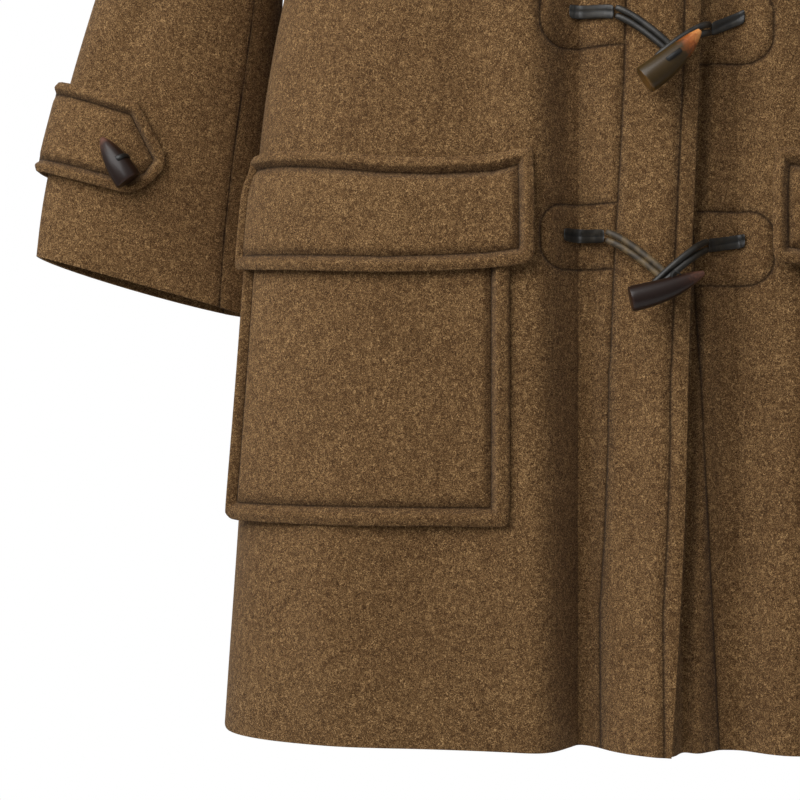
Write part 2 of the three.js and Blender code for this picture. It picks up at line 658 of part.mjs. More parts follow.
// The place on a sheet seen from the front at x and a height, lifted off its face
function facePoint(sheet, x, height, lift) {
  const z = height - NECK_HEIGHT;
  let best = null;
  for (let j = 0; j < sheet.outer.length - 1; j += 1) {
    for (let i = 0; i < sheet.outer[0].length - 1; i += 1) {
      const corners = [[i, j], [i + 1, j], [i + 1, j + 1], [i, j + 1]];
      for (const order of [[0, 1, 2], [0, 2, 3]]) {
        const [a, b, c] = order.map((k) => sheet.outer[corners[k][1]][corners[k][0]]);
        const area = (b.x - a.x) * (c.z - a.z) - (c.x - a.x) * (b.z - a.z);
        const u = ((x - a.x) * (c.z - a.z) - (c.x - a.x) * (z - a.z)) / area;
        const v = ((b.x - a.x) * (z - a.z) - (x - a.x) * (b.z - a.z)) / area;
        if (u < -1e-6 || v < -1e-6 || u + v > 1 + 1e-6) continue;
        const y = a.y + u * (b.y - a.y) + v * (c.y - a.y);
        const normal = b.clone().sub(a).cross(c.clone().sub(a)).normalize();
        if (!best || y < best.y) best = { y, tilt: Math.abs(normal.y) };
      }
    }
  }
  return new THREE.Vector3(x, best.y - lift / Math.max(best.tilt, 0.6), z);
}

// A leather tab: two thong widths side by side, sewn to a front
function leatherTab(sheet, ends) {
  const [from, to] = [...ends].sort((a, b) => a[0] - b[0]);
  const columns = FRONT_COLUMNS.map((x) => Math.sign(from[0]) * x).sort((a, b) => a - b);
  const xs = [from[0], ...columns.filter((x) => x > from[0] + 2 && x < to[0] - 2), to[0]];
  const middle = (x) => mix(from[1], to[1], (x - from[0]) / (to[0] - from[0]));
  const edge = (half, lift) => xs.map((x) => facePoint(sheet, x, middle(x) + half, lift));
  const layer = (lift) => [edge(-LEATHER_TAB.height / 2, lift), edge(LEATHER_TAB.height / 2, lift)];
  return { outer: layer(LAID_GAP + LEATHER_TAB.thick), inner: layer(LAID_GAP) };
}

// The free edge of the right front at a height, on its own sheet
function freeEdgeX(height) {
  const edge = frontRight.outer.map((row) => row[0]);
  const z = height - NECK_HEIGHT;
  const j = Math.max(edge.findIndex((p, k) => k < edge.length - 1 && z <= edge[k + 1].z), 0);
  return mix(edge[j].x, edge[j + 1].x, (z - edge[j].z) / (edge[j + 1].z - edge[j].z));
}

// Middle of a thong at x, on the face of the coat and over the edge of the right front
function thongPoint(x, height, lift) {
  const edge = freeEdgeX(height);
  const clear = 2 * LAID_GAP + THONG.radius;
  const low = facePoint(frontLeft, Math.max(x, LAP_EDGE[1]), height, clear).y;
  const high = facePoint(frontRight, Math.min(x, edge - EDGE_CLEAR / 2), height, clear).y;
  const y = x < edge + EDGE_CLEAR ? Math.min(high, x > edge ? low : high) : low;
  return new THREE.Vector3(x, y - lift, height - NECK_HEIGHT);
}

// A thong that leaves a leather tab, turns behind the toggle and comes back to the tab
function thongGeometry([startX, startHeight], [endX, endHeight], lift) {
  const steps = 6;
  const line = Array.from({ length: steps + 1 }, (_, i) => i / steps);
  const strand = (offset) =>
    line.map((share) => {
      const height = mix(startHeight, endHeight, share ** 1.3) + offset;
      return thongPoint(mix(startX, endX, share), height, lift * share ** 0.7);
    });
  const turn = thongPoint(endX + Math.sign(endX - startX) * THONG.spread, endHeight, lift);
  const centres = [...strand(THONG.spread), turn, ...strand(-THONG.spread).reverse()];
  return rodGeometry(centres, centres.map(() => THONG.radius), THONG.sides);
}

// A horn toggle along a line, cut flat at its base and tapering to a rounded tip
function toggleGeometry(place, base, sides) {
  const centres = TOGGLE_PROFILE.map(([share]) => place(share));
  return rodGeometry(centres, TOGGLE_PROFILE.map(([, width]) => base * width), sides);
}

// One toggle fastening: two leather tabs, two thongs and the toggle
function addFastening(i) {
  const number = i + 1;
  const { middle: [x, height], tilt, length, base, seat } = TOGGLES[i];
  addPart(`tab_right_${number}`, sheetGeometry(leatherTab(frontRight, TABS_RIGHT[i])), leather);
  addPart(`tab_left_${number}`, sheetGeometry(leatherTab(frontLeft, TABS_LEFT[i])), leather);
  const over = 2 * THONG.radius + 2 * LAID_GAP;
  const [rightX, rightHeight] = TABS_RIGHT[i][0];
  const [leftX, leftHeight] = TABS_LEFT[i][0];
  const rightThong = thongGeometry([rightX + THONG.clear, rightHeight], [x + THONG.past, height], 0);
  const leftThong = thongGeometry([leftX - THONG.clear, leftHeight], [x - THONG.past, height], over);
  addPart(`loop_right_${number}`, rightThong, leather);
  addPart(`loop_left_${number}`, leftThong, leather);
  const middle = thongPoint(x, height, over);
  middle.y -= THONG.radius + seat;
  const angle = THREE.MathUtils.degToRad(tilt);
  const along = new THREE.Vector3(Math.cos(angle), 0, Math.sin(angle));
  const across = new THREE.Vector3(-Math.sin(angle), 0, Math.cos(angle));
  const place = (share) => {
    const sag = -TOGGLE.bend * Math.sin(Math.PI * share);
    return moved(moved(middle, along, (share - 0.5) * length), across, sag);
  };
  addPart(`toggle_${number}`, toggleGeometry(place, base, TOGGLE.sides), horn);
}

// The pointed tab on a sleeve, from behind its outer edge to the front
function cuffTabSheet(sleeve) {
  const lift = (column, row) => {
    const proud = CUFF_TAB.proud * (row > CUFF_TAB.rows[0] ? 1 : 0.8);
    return 3.2 * LAID_GAP + proud * bell(column - SLEEVE_SEAM_STEP, 2.6);
  };
  const layer = (thickness) =>
    CUFF_TAB.rows.map((row, k) => {
      const end = CUFF_TAB.ends[k];
      const inside = stepsBetween(CUFF_TAB.from, Math.floor(CUFF_TAB.ends[0]) + 0.001).slice(0, -1);
      return [...inside, Math.floor(CUFF_TAB.ends[0]), end].map((column) =>
        onSheet(sleeve, column, row, lift(column, row) + thickness),
      );
    });
  return { outer: layer(CUFF_TAB.thick), inner: layer(0) };
}

// The small toggle on a sleeve tab, its tip leaning down to the tab
function cuffToggle(tab, side) {
  const [baseX, baseHeight] = CUFF_TOGGLE.base;
  const [tipX, tipHeight] = CUFF_TOGGLE.tip;
  const lift = (share) => SEAM_GAP + CUFF_TOGGLE.radius * (1 - CUFF_TOGGLE.lean * share ** 2);
  const place = (share) =>
    facePoint(tab, side * mix(baseX, tipX, share), mix(baseHeight, tipHeight, share), lift(share));
  return toggleGeometry(place, CUFF_TOGGLE.radius, CUFF_TOGGLE.sides);
}

addPart('front_right', sheetGeometry(frontRight), wool);
addPart('front_left', sheetGeometry(frontLeft), wool);
addPart('back', sheetGeometry(back), wool);
for (const [side, label] of [[-1, 'right'], [1, 'left']]) {
  const { top, under } = sleeveSheets(side);
  addPart(`sleeve_${label}_top`, sheetGeometry(top), wool);
  addPart(`sleeve_${label}_under`, sheetGeometry(under), wool);
  addPart(`hood_${label}`, sheetGeometry(hoodSheet(side)), wool);
  const cuffTab = cuffTabSheet(top);
  addPart(`cuff_tab_${label}`, sheetGeometry(cuffTab), pocketWool);
  addPart(`cuff_toggle_${label}`, cuffToggle(cuffTab, side), horn);
  const { pocket, flap } = pocketPieces(side < 0 ? frontRight : frontLeft, side);
  addPart(`pocket_${label}`, sheetGeometry(pocket), pocketWool);
  addPart(`flap_${label}`, sheetGeometry(flap), pocketWool);
}
TOGGLES.forEach((_, i) => addFastening(i));

export default group;
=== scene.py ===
# %% [markdown]
# # A duffle coat in thick brown wool
# The coat comes as closed solids, one for each piece that a maker cuts.
# This script dresses them: it rounds and smooths the cloth, sinks the seams,
# and gives wool, leather and horn their finish. Lengths are in metres.

# %% Load the frame
import json
import math
import bmesh
import bpy
import numpy as np
from mathutils import Matrix, Vector
from mathutils.bvhtree import BVHTree
from mathutils.kdtree import KDTree

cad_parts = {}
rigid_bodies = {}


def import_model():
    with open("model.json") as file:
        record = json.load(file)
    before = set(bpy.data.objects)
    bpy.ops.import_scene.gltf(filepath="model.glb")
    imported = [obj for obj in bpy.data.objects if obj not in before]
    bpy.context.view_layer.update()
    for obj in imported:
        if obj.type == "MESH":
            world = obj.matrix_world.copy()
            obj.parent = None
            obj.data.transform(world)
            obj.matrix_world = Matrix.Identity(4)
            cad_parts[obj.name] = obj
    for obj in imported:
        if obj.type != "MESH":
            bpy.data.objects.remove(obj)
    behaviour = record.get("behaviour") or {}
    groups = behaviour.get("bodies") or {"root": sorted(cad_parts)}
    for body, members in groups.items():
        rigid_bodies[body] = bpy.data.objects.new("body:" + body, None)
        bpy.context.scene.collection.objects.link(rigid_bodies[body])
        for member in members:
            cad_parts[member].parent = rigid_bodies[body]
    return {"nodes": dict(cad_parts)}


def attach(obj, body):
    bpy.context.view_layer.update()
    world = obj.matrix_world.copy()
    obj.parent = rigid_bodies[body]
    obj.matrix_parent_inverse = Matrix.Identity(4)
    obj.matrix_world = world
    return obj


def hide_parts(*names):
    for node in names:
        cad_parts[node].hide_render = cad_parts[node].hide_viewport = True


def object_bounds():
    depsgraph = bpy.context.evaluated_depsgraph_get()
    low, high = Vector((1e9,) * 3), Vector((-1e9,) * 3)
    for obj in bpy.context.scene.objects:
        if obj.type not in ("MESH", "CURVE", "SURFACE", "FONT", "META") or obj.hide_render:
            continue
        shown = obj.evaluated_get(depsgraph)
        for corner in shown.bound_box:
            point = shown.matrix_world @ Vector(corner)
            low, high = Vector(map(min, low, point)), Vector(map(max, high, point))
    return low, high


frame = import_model()
cad_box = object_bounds()
MM = 0.001
NODES = frame["nodes"]
print("solids:", len(NODES))

# %% [markdown]
# ## Camera
# The photograph is a close view of the lower front, taken level from the height
# of the pockets. A long lens at 1.3 m keeps the sleeves a little smaller than
# the front. Heights in this script are counted down from the neck.

# %% Camera
CAMERA_PLACE = (-0.166, -1.425, -0.670)
FOCUS_PIXELS = 2015
FRAME_PIXELS = 800
SENSOR = 36.0
camera = bpy.data.objects.new("camera", bpy.data.cameras.new("camera"))
bpy.context.collection.objects.link(camera)
camera.location = CAMERA_PLACE
camera.rotation_euler = (math.radians(90), 0, 0)
camera.data.sensor_width = SENSOR
camera.data.lens = FOCUS_PIXELS / FRAME_PIXELS * SENSOR
bpy.context.scene.camera = camera
print("lens", round(camera.data.lens, 1), "mm")

# %% [markdown]
# ## Colours and nodes
# Colours are written as sRGB hex values, as a paint program shows them, and one
# function turns them to the linear values that the renderer needs. A material
# or a world is a graph of nodes, and one small function adds a node, sets it and
# links it. A node that is given as a value stands for its first output.


# %% Helpers for colours and nodes
def linear(hex_colour):
    channels = [int(hex_colour[i : i + 2], 16) / 255 for i in (1, 3, 5)]
    return [c / 12.92 if c < 0.04045 else ((c + 0.055) / 1.055) ** 2.4 for c in channels] + [1]


def add_node(owner, kind, settings=None, *values, **inputs):
    """Values fill the sockets in order. Inputs fill them by name, or by _number where names repeat."""
    node = owner.node_tree.nodes.new(kind)
    for key, value in (settings or {}).items():
        setattr(node, key, value)
    sockets = [(node.inputs[i], value) for i, value in enumerate(values)]
    for key, value in inputs.items():
        name = int(key[1:]) if key[1:].isdigit() else key.replace("_", " ")
        sockets.append((node.inputs[name], value))
    for socket, value in sockets:
        if isinstance(value, bpy.types.Node):
            value = value.outputs[0]
        if isinstance(value, bpy.types.NodeSocket):
            owner.node_tree.links.new(value, socket)
        else:
            socket.default_value = value
    return node


def new_material(name, **sockets):
    material = bpy.data.materials.new(name)
    material.use_nodes = True
    shader = material.node_tree.nodes["Principled BSDF"]
    for key, value in sockets.items():
        shader.inputs[key.replace("_", " ")].default_value = value
    return material, shader


def set_ramp(ramp, stops):
    """Stops are rows of position and hex colour, from the ramp's start to its end."""
    elements = ramp.color_ramp.elements
    for element, (position, colour) in ((elements[0], stops[0]), (elements[1], stops[-1])):
        element.position = position
        element.color = linear(colour)
    for position, colour in stops[1:-1]:
        elements.new(position).color = linear(colour)


print("middle grey in linear light:", round(linear("#808080")[0], 3))

# %% [markdown]
# ## Light
# A white room gives much of the light, more of it from above than from below.
# A large soft lamp in front, to the left and a little above the coat makes the
# flaps and pockets brighter than the hem and shades the valley beside the
# closing. A weak lamp far to the left opens the shade by the sleeve, and one
# behind lights the back. The camera itself sees the room as plain white.


# %% Light
def add_lamp(name, place, target, size, power):
    lamp = bpy.data.objects.new(name, bpy.data.lights.new(name, "AREA"))
    bpy.context.collection.objects.link(lamp)
    lamp.location = place
    lamp.rotation_euler = (Vector(target) - Vector(place)).to_track_quat("-Z", "Y").to_euler()
    lamp.data.size = size
    lamp.data.energy = power


COAT_MIDDLE = (0, 0, -0.5)
add_lamp("key lamp", (-0.95, -1.15, 0.45), COAT_MIDDLE, 1.5, 32)
add_lamp("side lamp", (-2.4, -1.0, 0.1), COAT_MIDDLE, 1.2, 10)
add_lamp("back lamp", (-1.5, 2.6, 1.2), COAT_MIDDLE, 2.0, 45)

ROOM_LOW, ROOM_HIGH = 0.06, 0.62
world = bpy.data.worlds.new("room")
bpy.context.scene.world = world
world.use_nodes = True
room = world.node_tree.nodes["Background"]
room.inputs["Color"].default_value = (1, 1, 1, 1)
around = add_node(world, "ShaderNodeTexCoord").outputs["Generated"]
height = add_node(world, "ShaderNodeSeparateXYZ", Vector=around).outputs["Z"]
glow = add_node(world, "ShaderNodeMapRange", Value=height, From_Min=-1.0, To_Min=ROOM_LOW, To_Max=ROOM_HIGH)
seen = add_node(world, "ShaderNodeLightPath").outputs["Is Camera Ray"]
level = add_node(world, "ShaderNodeMapRange", Value=seen, To_Min=glow, To_Max=1.0)
world.node_tree.links.new(level.outputs["Result"], room.inputs["Strength"])
bpy.context.scene.view_settings.view_transform = "Standard"
print("lamps:", len(bpy.data.lights))

# %% [markdown]
# ## Milled wool
# The cloth is a woven wool that was milled until the weave closed, then brushed.
# Its face is a matted nap of short curled fibres, so it is matt, and mottled light
# and dark within a millimetre or two. Its seams are sunk and sewn with a dark
# thread, and shade is painted darker into the trough on each side. Each mesh
# stores the distance to its nearest stitch line, which needs no unwrapping. The
# D-shaped lines around the leather tabs are finer than the mesh, so nodes work
# them out from the place in space.

# %% Distances for stitch lines
MATH = "ShaderNodeMath"
PATCH_STEP = 146.6 * MM
PATCH_ROUND = 17 * MM
PATCHES = {
    "right": {"side": -1, "far": -0.074, "half": 0.0216, "z": -0.5620},
    "left": {"side": 1, "far": 0.079, "half": 0.0245, "z": -0.5705},
}


def bell_of(material, distance, width):
    """A curve that is 1 on the line and falls off to both sides of it."""
    share = add_node(material, MATH, {"operation": "DIVIDE"}, distance, width)
    square = add_node(material, MATH, {"operation": "MULTIPLY"}, share, share)
    falling = add_node(material, MATH, {"operation": "MULTIPLY"}, square, -1.0)
    return add_node(material, MATH, {"operation": "EXPONENT"}, falling)


def quilting_lines(material, place, patch):
    """Distance to D-shaped outlines that repeat down a front."""
    axes = add_node(material, "ShaderNodeSeparateXYZ", Vector=place).outputs
    fall = add_node(material, MATH, {"operation": "SUBTRACT"}, axes["Z"], patch["z"])
    down = add_node(material, MATH, {"operation": "WRAP"}, fall, PATCH_STEP / 2, -PATCH_STEP / 2)
    away = add_node(material, MATH, {"operation": "ABSOLUTE"}, down)
    high = add_node(material, MATH, {"operation": "SUBTRACT"}, away, patch["half"] - PATCH_ROUND)
    reach = add_node(material, MATH, {"operation": "SUBTRACT"}, axes["X"], patch["far"])
    beyond = add_node(material, MATH, {"operation": "MULTIPLY"}, reach, patch["side"])
    wide = add_node(material, MATH, {"operation": "ADD"}, beyond, PATCH_ROUND)
    squares = []
    for size in (high, wide):
        past = add_node(material, MATH, {"operation": "MAXIMUM"}, size, 0.0)
        squares.append(add_node(material, MATH, {"operation": "POWER"}, past, 2.0))
    total = add_node(material, MATH, {"operation": "ADD"}, *squares)
    outside = add_node(material, MATH, {"operation": "SQRT"}, total)
    larger = add_node(material, MATH, {"operation": "MAXIMUM"}, high, wide)
    inside = add_node(material, MATH, {"operation": "MINIMUM"}, larger, 0.0)
    signed = add_node(material, MATH, {"operation": "ADD"}, outside, inside)
    edge = add_node(material, MATH, {"operation": "SUBTRACT"}, signed, PATCH_ROUND)
    distance = add_node(material, MATH, {"operation": "ABSOLUTE"}, edge)
    shown = add_node(material, "ShaderNodeAttribute", {"attribute_name": "quilted"}).outputs["Fac"]
    hidden = add_node(material, MATH, {"operation": "LESS_THAN"}, shown, 0.5)
    return add_node(material, MATH, {"operation": "ADD"}, distance, hidden)


print("quilted patches repeat every", PATCH_STEP / MM, "mm")

# %% [markdown]
# ## The nap of the wool
# Hair strands could stand for the fibres, but a whole coat of them is slow and
# heavy. At this distance only their light and shade count, so noise of a fibre's
# and a tuft's real size mixes three browns, and the same noise drives a bump.

# %% Milled wool material
FIBRE = 1.4 * MM
TUFT = 4.0 * MM
CLOUD = 60 * MM
TUFT_SHARE, CLOUD_SHARE = 0.16, 0.06
NAP_DARK, NAP_LIGHT = 0.455, 0.785
NAP_DEPTH = 1.2 * MM
THREAD = 0.75 * MM
TROUGH = 3.2 * MM
# The thread's dye darkens the stitch line itself; the trough's share is painted shade in the sunk seam
# around it.
THREAD_DYE, TROUGH_PAINTED_SHADE = 0.55, 0.22
THREAD_SINK, TROUGH_SINK = -0.8, -1.4
WOOL_DARK, WOOL_MIDDLE, WOOL_LIGHT = "#3f2b18", "#664a2c", "#b38f62"
THREAD_AND_SHADE_COLOUR = "#24170c"


def wool_material(name, patch=None):
    material, shader = new_material(
        name, Roughness=0.95, Sheen_Weight=0.03, Sheen_Roughness=0.5, Specular_IOR_Level=0.1
    )
    place = add_node(material, "ShaderNodeTexCoord").outputs["Object"]
    curl = {"Detail": 3.0, "Roughness": 0.6, "Distortion": 2.2}
    fibre = add_node(material, "ShaderNodeTexNoise", Vector=place, Scale=1 / FIBRE, **curl)
    tuft = add_node(material, "ShaderNodeTexNoise", Vector=place, Scale=1 / TUFT, Detail=1.0, Distortion=0.8)
    cloud = add_node(material, "ShaderNodeTexNoise", Vector=place, Scale=1 / CLOUD, Detail=2.0)
    nap = add_node(material, MATH, {"operation": "MULTIPLY_ADD"}, tuft, TUFT_SHARE, fibre)
    whole = add_node(material, MATH, {"operation": "MULTIPLY_ADD"}, cloud, CLOUD_SHARE, nap)
    spread = add_node(material, "ShaderNodeMapRange", Value=whole, From_Min=NAP_DARK, From_Max=NAP_LIGHT)
    ramp = add_node(material, "ShaderNodeValToRGB", Fac=spread)
    set_ramp(ramp, [(0.05, WOOL_DARK), (0.5, WOOL_MIDDLE), (1.0, WOOL_LIGHT)])
    stitch = add_node(material, "ShaderNodeAttribute", {"attribute_name": "stitch"}).outputs["Fac"]
    line = add_node(material, MATH, {"operation": "ABSOLUTE"}, stitch)
    if patch:
        quilting = quilting_lines(material, place, patch)
        line = add_node(material, MATH, {"operation": "MINIMUM"}, line, quilting)
    thread = bell_of(material, line, THREAD)
    trough = bell_of(material, line, TROUGH)
    dyed = add_node(material, MATH, {"operation": "MULTIPLY"}, thread, THREAD_DYE)
    # The mix factor is the thread's dye plus painted shade in the seam's trough, both towards one dark
    # colour.
    dark = add_node(material, MATH, {"operation": "MULTIPLY_ADD"}, trough, TROUGH_PAINTED_SHADE, dyed)
    colours = {"_6": ramp, "_7": linear(THREAD_AND_SHADE_COLOUR)}
    shaded = add_node(material, "ShaderNodeMix", {"data_type": "RGBA"}, dark, **colours)
    low = add_node(material, MATH, {"operation": "MULTIPLY_ADD"}, trough, TROUGH_SINK, nap)
    sunk = add_node(material, MATH, {"operation": "MULTIPLY_ADD"}, thread, THREAD_SINK, low)
    bump = add_node(material, "ShaderNodeBump", Strength=1.0, Distance=NAP_DEPTH, Height=sunk)
    material.node_tree.links.new(shaded.outputs[2], shader.inputs["Base Color"])
    material.node_tree.links.new(bump.outputs["Normal"], shader.inputs["Normal"])
    return material


WOOL = wool_material("milled wool")
QUILTED = {side: wool_material(f"milled wool quilted {side}", patch) for side, patch in PATCHES.items()}
print("wool fibre", FIBRE / MM, "mm")

# %% [markdown]
# ## Leather and horn
# The tabs and thongs are waxed leather, nearly black, with a soft gloss and a
# fine grain. The toggles are polished horn: dark, with streaks along their
# length, and some turn amber where the horn thins towards the tip. Pictures of
# both could be wrapped round the pieces. Noise was chosen, because it has no
# joins, and because a number along each toggle can steer the horn's colour.

# %% Leather and horn materials
GRAIN = 0.9 * MM
GRAIN_DEPTH = 0.2 * MM
WORN_PATCH = 6 * MM
SEWING_THREAD = 0.6 * MM
STREAK = 5 * MM


def leather_material(name, dark, light, roughness):
    material, shader = new_material(name, Roughness=roughness)
    place = add_node(material, "ShaderNodeTexCoord").outputs["Object"]
    grain = add_node(material, "ShaderNodeTexVoronoi", Vector=place, Scale=1 / GRAIN)
    worn = add_node(material, "ShaderNodeTexNoise", Vector=place, Scale=1 / WORN_PATCH, Detail=3.0)
    ramp = add_node(material, "ShaderNodeValToRGB", Fac=worn)
    set_ramp(ramp, [(0.4, dark), (0.72, light)])
    stitch = add_node(material, "ShaderNodeAttribute", {"attribute_name": "stitch"}).outputs["Fac"]
    line = add_node(material, MATH, {"operation": "ABSOLUTE"}, stitch)
    thread = add_node(material, "ShaderNodeMapRange", Value=line, From_Min=SEWING_THREAD, From_Max=0.0)
    colours = {"_6": ramp, "_7": linear("#0b0a08")}
    shaded = add_node(material, "ShaderNodeMix", {"data_type": "RGBA"}, thread, **colours)
    bump = add_node(material, "ShaderNodeBump", Strength=0.35, Distance=GRAIN_DEPTH, Height=grain)
    material.node_tree.links.new(shaded.outputs[2], shader.inputs["Base Color"])
    material.node_tree.links.new(bump.outputs["Normal"], shader.inputs["Normal"])
    return material


def horn_material(name, rim, base, middle, tip):
    material, shader = new_material(name, Roughness=0.38, Specular_IOR_Level=0.3, Coat_Weight=0.06)
    along = add_node(material, "ShaderNodeAttribute", {"attribute_name": "along"}).outputs["Fac"]
    place = add_node(material, "ShaderNodeTexCoord").outputs["Object"]
    grown = {"Detail": 4.0, "Distortion": 1.2}
    streak = add_node(material, "ShaderNodeTexNoise", Vector=place, Scale=1 / STREAK, **grown)
    uneven = add_node(material, MATH, {"operation": "SUBTRACT"}, streak, 0.5)
    swing = add_node(material, MATH, {"operation": "MULTIPLY"}, uneven, along)
    shift = add_node(material, MATH, {"operation": "MULTIPLY_ADD"}, swing, 0.5, along)
    ramp = add_node(material, "ShaderNodeValToRGB", Fac=shift)
    set_ramp(ramp, [(0.0, base), (0.012, rim), (0.05, base), (0.62, base), (0.8, middle), (1.0, tip)])
    material.node_tree.links.new(ramp.outputs["Color"], shader.inputs["Base Color"])
    return material


TAB_LEATHER = leather_material("waxed tab leather", "#14110c", "#2b2720", 0.48)
THONG_LEATHER = leather_material("worn thong leather", "#33291a", "#6a5636", 0.6)
DARK_HORN = horn_material("dark polished horn", "#2c1a12", "#1d0f09", "#2c180f", "#5c3a2c")
AMBER_HORN = horn_material("amber tipped horn", "#6a4a20", "#38290f", "#8f4c20", "#d6904e")
print("materials:", len(bpy.data.materials))

# %% [markdown]
# ## Turning a solid into cloth
# A cloth simulation could drape the cut pieces, but the solids already hang in
# the photograph's folds, so each is used as a coarse cage. Its doubles are
# merged and its triangles are joined to quads, which subdivide best. The narrow
# faces along the cloth's edges move outward a little, so that seams stay shut.

# %% The cage of a solid and its rim
SHARP = math.radians(50)
WALL_LIMIT = 4 * MM
SEAM_CLOSE = 0.18 * MM
RIM_SPACING = 1.5 * MM
DOUBLES = 0.02 * MM


def cage_of(node):
    cage = bmesh.new()
    cage.from_mesh(NODES[node].data)
    bmesh.ops.remove_doubles(cage, verts=cage.verts, dist=DOUBLES)
    flat, any_shape = math.radians(40), math.radians(180)
    bmesh.ops.join_triangles(
        cage, faces=cage.faces, angle_face_threshold=flat, angle_shape_threshold=any_shape
    )
    return cage


def rim_of(node):
    """Points along the sharp edges of a solid."""
    cage = cage_of(node)
    points = []
    for edge in cage.edges:
        if edge.calc_face_angle(0) > SHARP:
            steps = max(int(edge.calc_length() / RIM_SPACING), 1)
            a, b = edge.verts[0].co, edge.verts[1].co
            points += [a.lerp(b, i / steps) for i in range(steps + 1)]
    cage.free()
    return points


def tree_of(points):
    """A tree that finds the nearest of many points quickly."""
    tree = KDTree(len(points))
    for i, p in enumerate(points):
        tree.insert(p, i)
    tree.balance()
    return tree


def close_seams(cage):
    """Move the narrow faces along the cloth's edges outward, so that neighbours meet."""
    moves = {}
    for face in cage.faces:
        if min(edge.calc_length() for edge in face.edges) < WALL_LIMIT:
            for vert in face.verts:
                moves.setdefault(vert, []).append(face.normal)
    for vert, normals in moves.items():
        step = Vector((0, 0, 0))
        for normal in normals:
            if step.dot(normal) < 0.5:
                step += normal
        vert.co += step * SEAM_CLOSE


print("rim points of a pocket:", len(rim_of("pocket_right")))

# %% [markdown]
# ## Smoothing
# Subdivision rounds the cage. Creased edges stay where they are, so the wall of
# the cloth keeps its thickness, and a small bevel then takes their sharpness off.


# %% Smoothing a cage
def soften(node, levels, crease, bevel=0.0):
    """A smooth copy of a solid, as a new piece."""
    cage = cage_of(node)
    if bevel:
        close_seams(cage)
    layer = cage.edges.layers.float.new("crease_edge")
    for edge in cage.edges:
        if edge.calc_face_angle(0) > SHARP:
            edge[layer] = crease
    mesh = bpy.data.meshes.new(node + "_cloth")
    cage.to_mesh(mesh)
    cage.free()
    piece = bpy.data.objects.new(node + "_cloth", mesh)
    bpy.context.collection.objects.link(piece)
    modifier = piece.modifiers.new("smooth", "SUBSURF")
    modifier.levels = modifier.render_levels = levels
    depsgraph = bpy.context.evaluated_depsgraph_get()
    smooth = bpy.data.meshes.new_from_object(piece.evaluated_get(depsgraph))
    piece.modifiers.clear()
    piece.data = smooth
    if bevel:
        fine = bmesh.new()
        fine.from_mesh(smooth)
        bmesh.ops.bevel(
            fine,
            geom=[edge for edge in fine.edges if edge.calc_face_angle(0) > SHARP],
            offset=bevel,
            offset_type="OFFSET",
            affect="EDGES",
            segments=2,
            profile=0.5,
            material=-1,
            clamp_overlap=True,
        )
        fine.to_mesh(smooth)
        fine.free()
    smooth.polygons.foreach_set("use_smooth", [True] * len(smooth.polygons))
    return piece


print("edges sharper than", round(math.degrees(SHARP)), "degrees stay in place")

# %% [markdown]
# ## Points and attributes
# The finer shapes are pushes on thousands of points. Sculpting could make them,
# but arrays of numbers can be repeated on every piece. An attribute is a number
# that a mesh keeps at each point, and a material can read it by its name.


# %% Points and attributes of a piece
def points_of(piece):
    points = np.empty(len(piece.data.vertices) * 3)
    piece.data.vertices.foreach_get("co", points)
    return points.reshape(-1, 3)


def normals_of(piece):
    normals = np.empty(len(piece.data.vertices) * 3)
    piece.data.vertices.foreach_get("normal", normals)
    return normals.reshape(-1, 3)


def set_points(piece, points):
    piece.data.vertices.foreach_set("co", points.ravel())
    piece.data.update()


def press(piece, push, direction):
    set_points(piece, points_of(piece) + push[:, None] * direction)


def set_attribute(piece, name, values):
    layer = piece.data.attributes.new(name, "FLOAT", "POINT")
    layer.data.foreach_set("value", np.asarray(values, dtype=np.float32))


def distance_to(piece, tree):
    return np.array([tree.find(p)[2] for p in points_of(piece)])


def dress(piece, node, material):
    """Give a piece its material, and let it stand for its solid."""
    piece.data.materials.clear()
    piece.data.materials.append(material)
    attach(piece, "root")
    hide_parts(node)


def bell(distance, width):
    return np.exp(-((distance / width) ** 2))


print("points of the back's solid:", len(points_of(NODES["back"])))

# %% [markdown]
# ## Seams between the pieces
# A seam is where the rims of two pieces meet. Each piece keeps a tree of its
# own rim points that lie beside another piece. The distance to them sinks the
# seam, darkens it with its thread and paints shade into its trough, while the
# free edges at hem, cuffs and hood stay clean. Lines marked by hand would do the
# same, but they'd be lost when a solid changes.

# %% Seams between the pieces
SEWN = ["front_right", "front_left", "back", "hood_right", "hood_left"]
SEWN += [f"sleeve_{side}_{part}" for side in ("right", "left") for part in ("top", "under")]
SEAM_REACH = 1.6 * MM
rims = {node: rim_of(node) for node in SEWN}
rim_trees = {node: tree_of(points) for node, points in rims.items()}
seam_trees = {}
for node in SEWN:
    others = [tree for name, tree in rim_trees.items() if name != node]
    near = [p for p in rims[node] if min(tree.find(p)[2] for tree in others) < SEAM_REACH]
    seam_trees[node] = tree_of(near)
    print(node, "seam points:", len(near))
